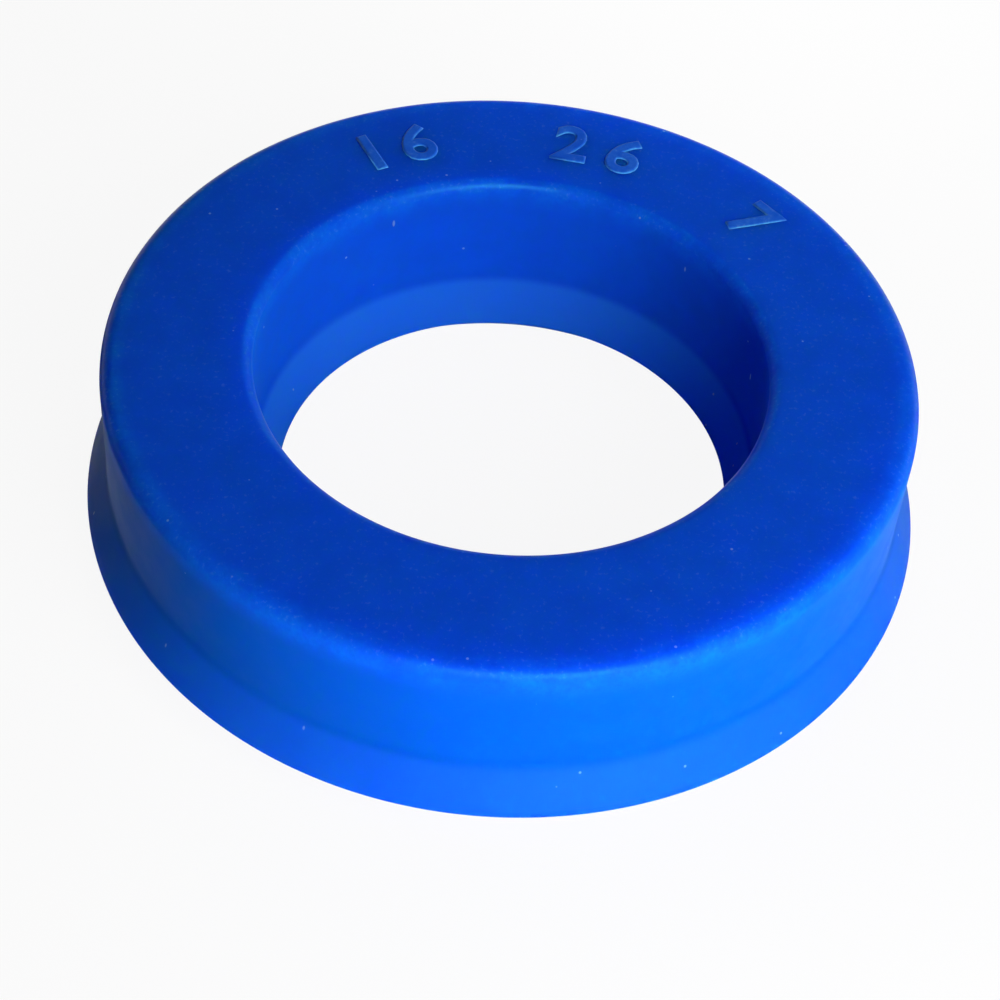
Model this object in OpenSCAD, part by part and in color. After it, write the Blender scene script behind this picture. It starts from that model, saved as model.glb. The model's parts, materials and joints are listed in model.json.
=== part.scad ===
// U-cup rod seal in one piece: a heel ring that carries two flared lips with a groove between them.
// Millimetres. The seal stands on its lips at z = 0, with its axis on +Z and its heel face up.

/* [Fit] */
// Diameter of the rod that runs through the seal
rod_d = 16; // [12:0.5:18]
// Diameter of the housing that the seal sits in
housing_d = 26; // [24:0.5:32]
// Radial gap between the rod and the heel
rod_gap = 0.15; // [0.05:0.05:0.4]
// Radial gap between the housing and the heel
housing_gap = 0.1; // [0.05:0.05:0.4]
// Radial squeeze of the inner lip by the rod
rod_squeeze = 0.6; // [0.2:0.05:0.9]
// Radial squeeze of the outer lip by the housing
housing_squeeze = 0.65; // [0.2:0.05:0.9]

/* [Heel] */
// Height from the ends of the lips to the heel face
seal_h = 7; // [6:0.5:10]
// Rounding of the two edges of the heel face
heel_edge_r = 0.45; // [0.2:0.05:0.8]

/* [Lips] */
// Height of the knee, where each lip turns away from the heel wall
knee_z = 2.9; // [2.2:0.1:3.6]
// Radius of the hollow blend at the knee
knee_r = 1; // [0.5:0.1:3]
// Height of the sealing edges
edge_z = 1.25; // [0.8:0.05:1.6]
// Angle between the axis and the trimmed face below each sealing edge
trim_angle = 45; // [30:1:50]
// Width of the flat toe at the end of each lip
toe_w = 0.42; // [0.2:0.02:0.7]

/* [Groove] */
// Depth of the groove between the lips
groove_depth = 3.2; // [2.4:0.1:3.8]
// Radius of the round root of the groove
root_r = 0.7; // [0.4:0.05:0.9]

/* [Hidden] */
$fn = 120;
seal_blue = "#0a46d4";

// Depth that a blend arc is let into the straight walls beside it, so that it crosses them
arc_bite = 0.001;

// Radii of the heel walls and of the sealing edges
heel_or = housing_d / 2 - housing_gap;
heel_ir = rod_d / 2 + rod_gap;
lip_or = housing_d / 2 + housing_squeeze;
lip_ir = rod_d / 2 - rod_squeeze;

// Toes: the trimmed face of each lip runs down and back from its sealing edge
trim_w = edge_z * tan(trim_angle);
toe_or = lip_or - trim_w;
toe_ir = lip_ir + trim_w;

// Groove: its mouth lies between the toes, and its walls lead into the round root
mouth_or = toe_or - toe_w;
mouth_ir = toe_ir + toe_w;
groove_r = (mouth_or + mouth_ir) / 2;
mouth_half = (mouth_or - mouth_ir) / 2;
root_z = groove_depth - root_r;
wall_r = root_r - arc_bite;
wall_turn = acos(wall_r / norm([mouth_half, root_z])) - atan2(root_z, mouth_half);
wall_end = [wall_r * cos(wall_turn), root_z + wall_r * sin(wall_turn)];

// Knee of one lip: its flare, the length that the blend takes, and the middle of the blend arc
function flare(heel_r, lip_r) = atan2(abs(lip_r - heel_r), knee_z - edge_z);
function reach(heel_r, lip_r) = (knee_r - arc_bite) * tan(flare(heel_r, lip_r) / 2);
function knee_middle(heel_r, lip_r) =
    [heel_r + sign(lip_r - heel_r) * (knee_r - arc_bite), knee_z + reach(heel_r, lip_r)];

// Corners of one side as [radius, height], from the heel face down to the mouth of the groove
function side_corners(heel_r, lip_r, toe_r, mouth_r) =
    let (
        way = sign(lip_r - heel_r),
        turn = flare(heel_r, lip_r),
        length = reach(heel_r, lip_r)
    )
    [
        [heel_r, seal_h],
        [heel_r, knee_z + length],
        [heel_r + way * length * sin(turn), knee_z - length * cos(turn)],
        [lip_r, edge_z],
        [toe_r, 0],
        [mouth_r, 0],
        [groove_r + way * wall_end[0], wall_end[1]]
    ];

function reversed(list) = [for (i = [len(list) - 1 : -1 : 0]) list[i]];

// What the rounding takes off one edge of the heel face, with the material on the side given by way
module heel_edge_waste(heel_r, way) {
    middle = [heel_r + way * heel_edge_r, seal_h - heel_edge_r];
    difference() {
        polygon([[heel_r, seal_h], [middle[0], seal_h], [heel_r, middle[1]]]);
        translate(middle)
            circle(heel_edge_r);
    }
}

// Half section of the ring in the plane of its axis
module ring_section() {
    outer = side_corners(heel_or, lip_or, toe_or, mouth_or);
    inner = side_corners(heel_ir, lip_ir, toe_ir, mouth_ir);
    difference() {
        polygon(concat(outer, reversed(inner)));
        translate(knee_middle(heel_or, lip_or))
            circle(knee_r);
        translate(knee_middle(heel_ir, lip_ir))
            circle(knee_r);
        translate([groove_r, root_z])
            circle(root_r);
        heel_edge_waste(heel_or, -1);
        heel_edge_waste(heel_ir, 1);
    }
}

module seal_ring() {
    color(seal_blue)
        rotate_extrude()
            ring_section();
}

seal_ring();
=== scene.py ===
import json
import math

import bmesh
import bpy
from mathutils import Matrix, Vector


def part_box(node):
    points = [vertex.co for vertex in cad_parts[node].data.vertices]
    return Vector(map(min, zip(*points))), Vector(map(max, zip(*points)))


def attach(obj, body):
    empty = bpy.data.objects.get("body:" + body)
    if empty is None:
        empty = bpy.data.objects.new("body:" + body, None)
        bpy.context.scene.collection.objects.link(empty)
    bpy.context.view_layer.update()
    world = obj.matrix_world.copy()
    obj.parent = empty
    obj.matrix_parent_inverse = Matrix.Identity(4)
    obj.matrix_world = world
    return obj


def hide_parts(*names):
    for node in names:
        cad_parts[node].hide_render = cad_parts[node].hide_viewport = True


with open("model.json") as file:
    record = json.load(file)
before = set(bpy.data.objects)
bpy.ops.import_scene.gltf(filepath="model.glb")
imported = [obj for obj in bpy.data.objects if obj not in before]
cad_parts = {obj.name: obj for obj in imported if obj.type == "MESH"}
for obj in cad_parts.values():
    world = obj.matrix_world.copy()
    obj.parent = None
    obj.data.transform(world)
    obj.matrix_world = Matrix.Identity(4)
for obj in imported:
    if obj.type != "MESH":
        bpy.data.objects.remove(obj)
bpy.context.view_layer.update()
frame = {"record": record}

mm = 0.001  # the frame is in metres, the sizes below are in millimetres
weld = 1e-4  # vertices closer than this are merged
scene = bpy.context.scene
mounts = {m["name"]: m["dims"] for m in frame["record"]["mounts"]}
boxLow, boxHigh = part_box("seal_ring")
print("frame loaded:", [round(v / mm, 2) for v in boxHigh - boxLow], "mm")


# ring, drawn as half a section and spun about its axis
ring = {
    "height": boxHigh.z / mm,
    "heelOuter": mounts["housing_wall"]["r_mm"],
    "heelInner": mounts["rod_bore"]["r_mm"],
    "lipOuter": boxHigh.x / mm,
    "lipInner": 7.4,
    "heelEdge": 0.45,  # rounding of the heel face
    "kneeZ": 2.9,
    "kneeRadius": 1.0,
    "edgeZ": 1.25,  # height of the sealing edges
    "toeWidth": 0.42,
    "grooveDepth": 3.2,
    "rootRadius": 0.7,
    "cutEdge": 0.05,  # tiny break on the trimmed edges
    "cutSteps": 3,
    "edgeSteps": 8,  # steps of the arcs in the section
    "kneeSteps": 6,
    "rootSteps": 8,
    "turns": 288,  # steps round the axis
    "stretch": 0.35,  # longest straight step in the section
}


def lineTo(bm, vert, r, z):
    made = bmesh.ops.extrude_vert_indiv(bm, verts=[vert])
    made["verts"][0].co = Vector((r, 0, z))
    return made["verts"][0]


def arcTo(bm, vert, middleR, middleZ, turn, steps):
    made = bmesh.ops.spin(
        bm, geom=[vert], cent=(middleR, 0, middleZ), axis=(0, 1, 0), angle=turn, steps=steps
    )
    return [g for g in made["geom_last"] if isinstance(g, bmesh.types.BMVert)][0]


def drawSide(bm, size, way, heel, lip, mouth, grooveR):
    top, edge, knee = size["height"], size["heelEdge"], size["kneeRadius"]
    flare = math.atan2(abs(lip - heel), size["kneeZ"] - size["edgeZ"])
    kneeTop = size["kneeZ"] + knee * math.tan(flare / 2)
    toe = lip - way * size["edgeZ"]
    root = size["rootRadius"]
    rootZ = size["grooveDepth"] - root
    mouthHalf = abs(mouth - grooveR)
    wallTurn = math.acos(root / math.hypot(mouthHalf, rootZ)) - math.atan2(rootZ, mouthHalf)
    pen = bm.verts.new((grooveR, 0, top))  # middle of the heel face
    pen = lineTo(bm, pen, heel - way * edge, top)
    pen = arcTo(bm, pen, heel - way * edge, top - edge, way * math.pi / 2, size["edgeSteps"])
    pen = lineTo(bm, pen, heel, kneeTop)
    pen = arcTo(bm, pen, heel + way * knee, kneeTop, -way * flare, size["kneeSteps"])
    pen = lineTo(bm, pen, lip, size["edgeZ"])
    sealing = pen
    pen = lineTo(bm, pen, toe, 0)
    toeCorner = pen
    pen = lineTo(bm, pen, mouth, 0)
    mouthCorner = pen
    wallR, wallZ = root * math.cos(wallTurn), rootZ + root * math.sin(wallTurn)
    pen = lineTo(bm, pen, grooveR + way * wallR, wallZ)
    arcTo(bm, pen, grooveR, rootZ, -way * (math.pi / 2 - wallTurn), size["rootSteps"])
    return [sealing, toeCorner, mouthCorner]


def makeRing(size):
    toeOuter = size["lipOuter"] - size["edgeZ"]
    toeInner = size["lipInner"] + size["edgeZ"]
    mouthOuter = toeOuter - size["toeWidth"]
    mouthInner = toeInner + size["toeWidth"]
    grooveR = (mouthOuter + mouthInner) / 2
    bm = bmesh.new()
    corners = drawSide(bm, size, 1, size["heelOuter"], size["lipOuter"], mouthOuter, grooveR)
    corners += drawSide(bm, size, -1, size["heelInner"], size["lipInner"], mouthInner, grooveR)
    bmesh.ops.bevel(
        bm, geom=corners, offset=size["cutEdge"], affect="VERTICES",
        segments=size["cutSteps"], profile=0.5, material=-1,
    )
    for edge in bm.edges[:]:
        cuts = int(edge.calc_length() / size["stretch"])
        if cuts:
            bmesh.ops.subdivide_edges(bm, edges=[edge], cuts=cuts)
    bmesh.ops.remove_doubles(bm, verts=bm.verts[:], dist=weld)
    bmesh.ops.spin(
        bm, geom=bm.verts[:] + bm.edges[:], cent=(0, 0, 0), axis=(0, 0, 1),
        angle=2 * math.pi, steps=size["turns"], use_merge=True,
    )
    bmesh.ops.remove_doubles(bm, verts=bm.verts[:], dist=weld)
    bmesh.ops.recalc_face_normals(bm, faces=bm.faces[:])
    for face in bm.faces:
        face.smooth = True
    bmesh.ops.scale(bm, vec=(mm, mm, mm), verts=bm.verts[:])
    return bm


def asObject(bm, name, material):
    mesh = bpy.data.meshes.new(name)
    bm.to_mesh(mesh)
    bm.free()
    piece = bpy.data.objects.new(name, mesh)
    scene.collection.objects.link(piece)
    mesh.materials.append(material)
    return piece


# finish of the ring
polyurethane = {
    "blue": (0.003, 0.088, 0.78, 1),
    "deepBlue": (0.003, 0.081, 0.72, 1),  # the two blend in soft clouds
    "wallShadeBlue": (0.0004, 0.091, 0.62, 1),  # darker blue painted on the brightly lit outer wall: painted shade
    "frostAndHighlightBlue": (0.003, 0.146, 0.82, 1),  # frosty skin of the rounded edges, brightened further as a painted highlight
    "faceFrost": 0.0,  # share of the frost on the heel face
    "rimFrostAndHighlight": 0.8,  # and round its outer rim; frost and painted highlight there
    "lipSheenBlue": (0.016, 0.180, 0.88, 1),  # painted sheen on the lips
    "innerLipSheen": 0.75,  # share of the painted sheen on each lip
    "outerLipSheen": 0.2,
    "dust": (0.20, 0.34, 0.80, 1),
    "dustSpecks": {"spacing": 0.75, "radius": 0.055, "kept": 0.35},
    "lintSpecks": {"spacing": 1.1, "radius": 0.06, "kept": 0.3},
    "lintStretch": (1, 1, 0.35),
    "dullness": 0.64,  # roughness of the outer wall
    "boreDullness": 0.9,  # of the bore
    "lipDullness": 0.62,  # of the outer lip
    "boreLipDullness": 0.80,  # of the inner lip
    "faceDullness": 0.38,  # of the heel face
    "edgeDullness": 0.34,  # of its rounded edges
    "sheen": 0.14,
    "sheenTint": (0.1, 1.0, 1.0, 1),
    "glow": (0.02, 0.09, 1.0),  # how far each colour wanders under the skin
    "glowDepth": 2.1 * mm,
    "glowShare": 1.0,
    "grain": 0.015 * mm,  # height of the fine grain
    "grainShare": 0.2,
    "lipBand": (-0.35, -0.03),  # ends of each band, up from the knee
    "heelBand": (-0.75, 0.3),  # up from the foot of the rounded edges
    "boreShine": (-0.45, -0.25),  # up from the heel face
    "wallShine": (-0.25, -0.08),
    "faceBand": (-0.04, -0.002),
    "sideBand": (-0.1, 0.1),  # out from the middle of the heel
    "lipFade": 0.5,  # share of the painted wall shade that the lips lose
    "cloud": {"Scale": 0.9, "Detail": 5, "Roughness": 0.6},
    "cloudEnds": (0.35, 0.65),  # where the cloud is deep blue, and blue
    "grit": {"Scale": 7, "Detail": 3, "Roughness": 0.6},
    "flecks": (0.15, 0.75, 0.3, 1),  # span of the grit, and the frost and painted highlight it gives
    "patches": (0.38, 0.60, 0.45, 1),  # span of the cloud, and the frost and painted highlight it leaves
    "film": (0.56, 0.72, 0, 0.20),  # span of the grit, and the thin dust it gives
    "wander": (0.3, 0.7, -0.04, 0.04),  # span of the cloud, and what it adds to the roughness
}


def addNode(nodes, kind, values):
    node = nodes.new(kind)
    for name, value in values.items():
        node.inputs[name].default_value = value
    return node


def ramp(nodes, links, source, start, end, first, last):
    step = addNode(nodes, "ShaderNodeMapRange", {"From Min": start, "From Max": end})
    step.interpolation_type = "SMOOTHSTEP"
    links.new(source, step.inputs["Value"])
    for name, value in (("To Min", first), ("To Max", last)):
        if isinstance(value, (int, float)):
            step.inputs[name].default_value = value
        else:
            links.new(value, step.inputs[name])
    return step.outputs["Result"]


def band(nodes, links, source, place, ends, first, last):
    return ramp(nodes, links, source, place + ends[0], place + ends[1], first, last)


def between(nodes, links, share, first, last):
    return ramp(nodes, links, share, 0, 1, first, last)


def combine(nodes, links, operation, first, second):
    node = nodes.new("ShaderNodeMath")
    node.operation = operation
    for socket, source in zip(node.inputs, (first, second)):
        if isinstance(source, (int, float)):
            socket.default_value = source
        else:
            links.new(source, socket)
    return node.outputs[0]


def square(nodes, links, source):
    return combine(nodes, links, "MULTIPLY", source, source)


def tint(nodes, links, share, under, over):
    node = nodes.new("ShaderNodeMix")
    node.data_type = "RGBA"
    links.new(share, node.inputs[0])
    links.new(under, node.inputs[6])  # colour sockets of the mix
    node.inputs[7].default_value = over
    return node.outputs[2]


def specks(nodes, links, where, look):
    cells = addNode(nodes, "ShaderNodeTexVoronoi", {"Scale": 1 / look["spacing"]})
    links.new(where, cells.inputs["Vector"])
    pick = nodes.new("ShaderNodeSeparateColor")
    links.new(cells.outputs["Color"], pick.inputs[0])
    reach = look["radius"] / look["spacing"]
    dot = ramp(nodes, links, cells.outputs["Distance"], reach / 2, reach, 1, 0)
    chosen = combine(nodes, links, "LESS_THAN", pick.outputs[0], look["kept"])
    return combine(nodes, links, "MULTIPLY", dot, chosen)


def bluePolyurethane(name, look, size):
    material = bpy.data.materials.new(name)
    material.use_nodes = True
    nodes, links = material.node_tree.nodes, material.node_tree.links
    shader = nodes["Principled BSDF"]
    shader.subsurface_method = "RANDOM_WALK"
    shader.inputs["Specular IOR Level"].default_value = look["sheen"]
    shader.inputs["Specular Tint"].default_value = look["sheenTint"]
    shader.inputs["Subsurface Weight"].default_value = look["glowShare"]
    shader.inputs["Subsurface Radius"].default_value = look["glow"]
    shader.inputs["Subsurface Scale"].default_value = look["glowDepth"]

    place = nodes.new("ShaderNodeTexCoord")
    where = addNode(nodes, "ShaderNodeMapping", {"Scale": (1 / mm, 1 / mm, 1 / mm)})
    links.new(place.outputs["Object"], where.inputs["Vector"])
    where = where.outputs["Vector"]  # in millimetres
    split = nodes.new("ShaderNodeSeparateXYZ")
    links.new(where, split.inputs[0])
    height = split.outputs["Z"]
    across = square(nodes, links, split.outputs["X"])
    along = square(nodes, links, split.outputs["Y"])
    radius = combine(nodes, links, "SQRT", combine(nodes, links, "ADD", across, along), 0)

    # bands of finish up the ring
    top, edge, outer = size["height"], size["heelEdge"], size["heelOuter"]
    middle = (outer + size["heelInner"]) / 2
    outside = band(nodes, links, radius, middle, look["sideBand"], 0, 1)
    rim = ramp(nodes, links, radius, outer - 2 * edge, outer - edge, look["faceFrost"], look["rimFrostAndHighlight"])
    lips = band(nodes, links, height, size["kneeZ"], look["lipBand"], 1, 0)
    heel = band(nodes, links, height, top - edge, look["heelBand"], 0, 1)
    boreShine = band(nodes, links, height, top, look["boreShine"], 0, 1)
    wallShine = band(nodes, links, height, top, look["wallShine"], 0, 1)
    shine = between(nodes, links, outside, boreShine, wallShine)
    face = band(nodes, links, height, top, look["faceBand"], 1, 0)
    edges = combine(nodes, links, "MULTIPLY", heel, combine(nodes, links, "MAXIMUM", face, rim))

    # cloudy blue, with painted shade on the brightly lit outer wall and a painted sheen on the lips
    cloud = addNode(nodes, "ShaderNodeTexNoise", look["cloud"])
    links.new(where, cloud.inputs["Vector"])
    cloud = cloud.outputs["Fac"]
    shade = nodes.new("ShaderNodeValToRGB")
    for stop, position, blue in zip(shade.color_ramp.elements, look["cloudEnds"], ("deepBlue", "blue")):
        stop.position = position
        stop.color = look[blue]
    links.new(cloud, shade.inputs["Fac"])
    fade = combine(nodes, links, "MULTIPLY", lips, look["lipFade"])
    dressed = combine(nodes, links, "MAXIMUM", heel, fade)
    # painted shade: a darker blue on the outer wall, kept off the heel edges and mostly off the lips
    wallShade = combine(nodes, links, "MULTIPLY", combine(nodes, links, "SUBTRACT", 1, dressed), outside)
    colour = tint(nodes, links, wallShade, shade.outputs["Color"], look["wallShadeBlue"])
    # painted sheen: a paler blue on the lips
    lipSheenShare = between(nodes, links, outside, look["innerLipSheen"], look["outerLipSheen"])
    colour = tint(nodes, links, combine(nodes, links, "MULTIPLY", lips, lipSheenShare), colour, look["lipSheenBlue"])

    # frost and a painted highlight on the rounded edges, dust on the heel face, specks and lint all over
    grit = addNode(nodes, "ShaderNodeTexNoise", look["grit"])
    links.new(where, grit.inputs["Vector"])
    grit = grit.outputs["Fac"]
    patches = ramp(nodes, links, cloud, *look["patches"])
    frostAndHighlight = combine(nodes, links, "MULTIPLY", ramp(nodes, links, grit, *look["flecks"]), edges)
    frostAndHighlight = combine(nodes, links, "MULTIPLY", frostAndHighlight, patches)
    colour = tint(nodes, links, frostAndHighlight, colour, look["frostAndHighlightBlue"])
    film = combine(nodes, links, "MULTIPLY", ramp(nodes, links, grit, *look["film"]), patches)
    film = combine(nodes, links, "MULTIPLY", film, shine)
    colour = tint(nodes, links, film, colour, look["dust"])
    dust = specks(nodes, links, where, look["dustSpecks"])
    fibres = addNode(nodes, "ShaderNodeMapping", {"Scale": look["lintStretch"]})
    links.new(where, fibres.inputs["Vector"])
    lint = specks(nodes, links, fibres.outputs["Vector"], look["lintSpecks"])
    colour = tint(nodes, links, combine(nodes, links, "MAXIMUM", dust, lint), colour, look["dust"])
    links.new(colour, shader.inputs["Base Color"])

    # dull walls and bore, smoother lips, edges and heel face
    wallDull = between(nodes, links, outside, look["boreDullness"], look["dullness"])
    lipDull = between(nodes, links, outside, look["boreLipDullness"], look["lipDullness"])
    heelDull = between(nodes, links, face, look["faceDullness"], look["edgeDullness"])
    rough = between(nodes, links, lips, wallDull, lipDull)
    rough = between(nodes, links, shine, rough, heelDull)
    rough = combine(nodes, links, "ADD", rough, ramp(nodes, links, cloud, *look["wander"]))
    links.new(rough, shader.inputs["Roughness"])

    # fine grain
    bump = addNode(nodes, "ShaderNodeBump", {"Strength": look["grainShare"], "Distance": look["grain"]})
    links.new(grit, bump.inputs["Height"])
    links.new(bump.outputs["Normal"], shader.inputs["Normal"])
    return material


sealBlue = bluePolyurethane("sealBlue", polyurethane, ring)
sealRing = asObject(makeRing(ring), "sealRing", sealBlue)
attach(sealRing, "root")
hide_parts("seal_ring")
print("ring made:", len(sealRing.data.polygons), "faces")


# raised size figures on the heel face: rod, housing and height
sizeFigures = {
    "rod": {"value": 2 * ring["heelInner"], "azimuths": (120.5, 111.5)},
    "housing": {"value": 2 * ring["heelOuter"], "azimuths": (82.5, 72.2)},
    "height": {"value": ring["height"], "azimuths": (43.9,)},
}
figureLook = {
    "middle": 10.5,  # radius of the ring of figures
    "letter": 2.5,
    "raise": 0.06,
    "sunk": 0.12,  # depth below the heel face
    "softEdge": 0.085,
    "edgeSteps": 1,
    "curveSteps": 4,
    # colour of the frost and painted edge highlight on the figures
    "frostAndHighlightBlue": (0.10, 0.46, 0.92, 1),
    "faceFrost": 0.2,
}


def drawFigure(digit, azimuth, look):
    text = bpy.data.curves.new("figure", "FONT")
    text.body = digit
    text.align_x = "CENTER"
    text.align_y = "CENTER"
    text.size = look["letter"]
    text.extrude = (look["raise"] + look["sunk"]) / 2 - look["softEdge"]
    text.bevel_depth = look["softEdge"]
    text.bevel_resolution = look["edgeSteps"]
    text.resolution_u = look["curveSteps"]
    holder = bpy.data.objects.new("figure", text)
    mesh = bpy.data.meshes.new_from_object(holder)
    bpy.data.objects.remove(holder)
    bpy.data.curves.remove(text)
    lift = ring["height"] + (look["raise"] - look["sunk"]) / 2
    turn = Matrix.Rotation(math.radians(azimuth - 90), 4, "Z")
    mesh.transform(turn @ Matrix.Translation((0, look["middle"], lift)))
    return mesh


def makeFigures(figures, look):
    bm = bmesh.new()
    for figure in figures.values():
        for digit, azimuth in zip(str(round(figure["value"])), figure["azimuths"]):
            mesh = drawFigure(digit, azimuth, look)
            bm.from_mesh(mesh)
            bpy.data.meshes.remove(mesh)
    bmesh.ops.remove_doubles(bm, verts=bm.verts[:], dist=weld)
    bmesh.ops.recalc_face_normals(bm, faces=bm.faces[:])
    bmesh.ops.scale(bm, vec=(mm, mm, mm), verts=bm.verts[:])
    return bm


frosted = {name: figureLook[name] for name in ("frostAndHighlightBlue", "faceFrost")}
figureBlue = bluePolyurethane(
    "figureBlue", dict(polyurethane, glowShare=0.0, **frosted),
    dict(ring, height=ring["height"] + figureLook["raise"]),
)
sizeMarks = asObject(makeFigures(sizeFigures, figureLook), "sizeMarks", figureBlue)
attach(sizeMarks, "root")
print("size figures raised:", len(sizeMarks.data.polygons), "faces")


# stage: a pale floor, a backdrop that fades upwards, and soft lamps
stageLook = {
    "size": 1.2,
    "drop": 0.01 * mm,  # gap under the lips
    "pale": (0.8, 0.8, 0.8, 1),
    "whiteShare": 0.92,  # share of plain white that the camera sees
    "roomLight": 0.02,
    "fade": (0.21, 0.36, 1.0, 0.05),  # heights where the backdrop fades, and its strengths
}


def directRays(nodes, links):
    path = nodes.new("ShaderNodeLightPath")
    total = path.outputs["Is Camera Ray"]
    for ray in ("Is Glossy Ray", "Is Transmission Ray"):
        add = nodes.new("ShaderNodeMath")
        add.operation = "ADD"
        add.use_clamp = True
        links.new(total, add.inputs[0])
        links.new(path.outputs[ray], add.inputs[1])
        total = add.outputs[0]
    return total


def mixShaders(nodes, links, share, under, over):
    mix = nodes.new("ShaderNodeMixShader")
    links.new(share, mix.inputs[0])
    links.new(under.outputs[0], mix.inputs[1])
    links.new(over.outputs[0], mix.inputs[2])
    return mix.outputs[0]


def paleFloor(look):
    material = bpy.data.materials.new("paleFloor")
    material.use_nodes = True
    nodes, links = material.node_tree.nodes, material.node_tree.links
    nodes.remove(nodes["Principled BSDF"])
    matte = nodes.new("ShaderNodeBsdfDiffuse")
    matte.inputs["Color"].default_value = look["pale"]
    white = nodes.new("ShaderNodeEmission")
    share = combine(nodes, links, "MULTIPLY", directRays(nodes, links), look["whiteShare"])
    mix = mixShaders(nodes, links, share, matte, white)
    links.new(mix, nodes["Material Output"].inputs["Surface"])
    return material


bm = bmesh.new()
bmesh.ops.create_grid(bm, x_segments=1, y_segments=1, size=stageLook["size"])
bmesh.ops.translate(bm, vec=(0, 0, -stageLook["drop"]), verts=bm.verts[:])
floor = asObject(bm, "floor", paleFloor(stageLook))


def studioWorld(look):
    world = bpy.data.worlds.new("studio")
    world.use_nodes = True
    nodes, links = world.node_tree.nodes, world.node_tree.links
    room = nodes["Background"]
    room.inputs["Color"].default_value = (1, 1, 1, 1)
    room.inputs["Strength"].default_value = look["roomLight"]
    backdrop = nodes.new("ShaderNodeBackground")
    toward = nodes.new("ShaderNodeTexCoord")
    height = nodes.new("ShaderNodeSeparateXYZ")
    falloff = nodes.new("ShaderNodeMapRange")
    for name, value in zip(("From Min", "From Max", "To Min", "To Max"), look["fade"]):
        falloff.inputs[name].default_value = value
    links.new(toward.outputs["Generated"], height.inputs["Vector"])
    links.new(height.outputs["Z"], falloff.inputs["Value"])
    links.new(falloff.outputs["Result"], backdrop.inputs["Strength"])
    mix = mixShaders(nodes, links, directRays(nodes, links), room, backdrop)
    links.new(mix, nodes["World Output"].inputs["Surface"])
    return world


scene.world = studioWorld(stageLook)

# shine: the lamp shows in the sheen, light: it lights the colour
lamps = {
    "key": {
        "azimuth": -66, "elevation": 2.5, "distance": 0.048,
        "width": 0.026, "tall": 0.006, "power": 0.0120, "shine": True, "light": True,
    },
    "soft": {
        "azimuth": -55, "elevation": 31, "distance": 0.10,
        "width": 0.07, "tall": 0.065, "power": 0.0985, "shine": True, "light": True,
    },
    "fill": {
        "azimuth": 73, "elevation": 20, "distance": 0.042,
        "width": 0.036, "tall": 0.015, "power": 0.0068, "shine": False, "light": True,
    },
    "glint": {
        "azimuth": -80, "elevation": 38, "distance": 0.10,
        "width": 0.065, "tall": 0.04, "power": 0.13, "shine": True, "light": False,
    },
}


def addLamp(name, look):
    lamp = bpy.data.lights.new(name, "AREA")
    lamp.shape = "RECTANGLE"
    lamp.size, lamp.size_y = look["width"], look["tall"]
    lamp.energy = look["power"]
    turn, rise = math.radians(look["azimuth"]), math.radians(look["elevation"])
    away = Vector((math.cos(turn) * math.cos(rise), math.sin(turn) * math.cos(rise), math.sin(rise)))
    holder = bpy.data.objects.new(name, lamp)
    holder.location = away * look["distance"] + Vector((0, 0, boxHigh.z / 2))
    holder.rotation_euler = (-away).to_track_quat("-Z", "Y").to_euler()
    holder.visible_camera = False
    holder.visible_glossy = look["shine"]
    holder.visible_diffuse = look["light"]
    scene.collection.objects.link(holder)


for name, look in lamps.items():
    addLamp(name, look)
print("stage lit")


# camera, at the photograph's viewing angle
shot = {
    "lens": 85,
    "sensor": 36,
    "nearest": 0.001,
    "distance": 76.99,
    "elevation": 46.153,
    "tilt": -1.710,
    "roll": 4.961,
}


def addCamera(look):
    camera = bpy.data.cameras.new("camera")
    camera.lens = look["lens"]
    camera.sensor_width = look["sensor"]
    camera.clip_start = look["nearest"]
    rise = math.radians(look["elevation"])
    pitch = math.pi / 2 - rise + math.radians(look["tilt"])
    spot = Vector((0, -math.cos(rise), math.sin(rise))) * look["distance"] * mm
    turn = Matrix.Rotation(pitch, 4, "X") @ Matrix.Rotation(math.radians(look["roll"]), 4, "Z")
    holder = bpy.data.objects.new("camera", camera)
    holder.matrix_world = Matrix.Translation(spot + Vector((0, 0, boxHigh.z / 2))) @ turn
    scene.collection.objects.link(holder)
    scene.camera = holder


addCamera(shot)
scene.view_settings.view_transform = "Standard"
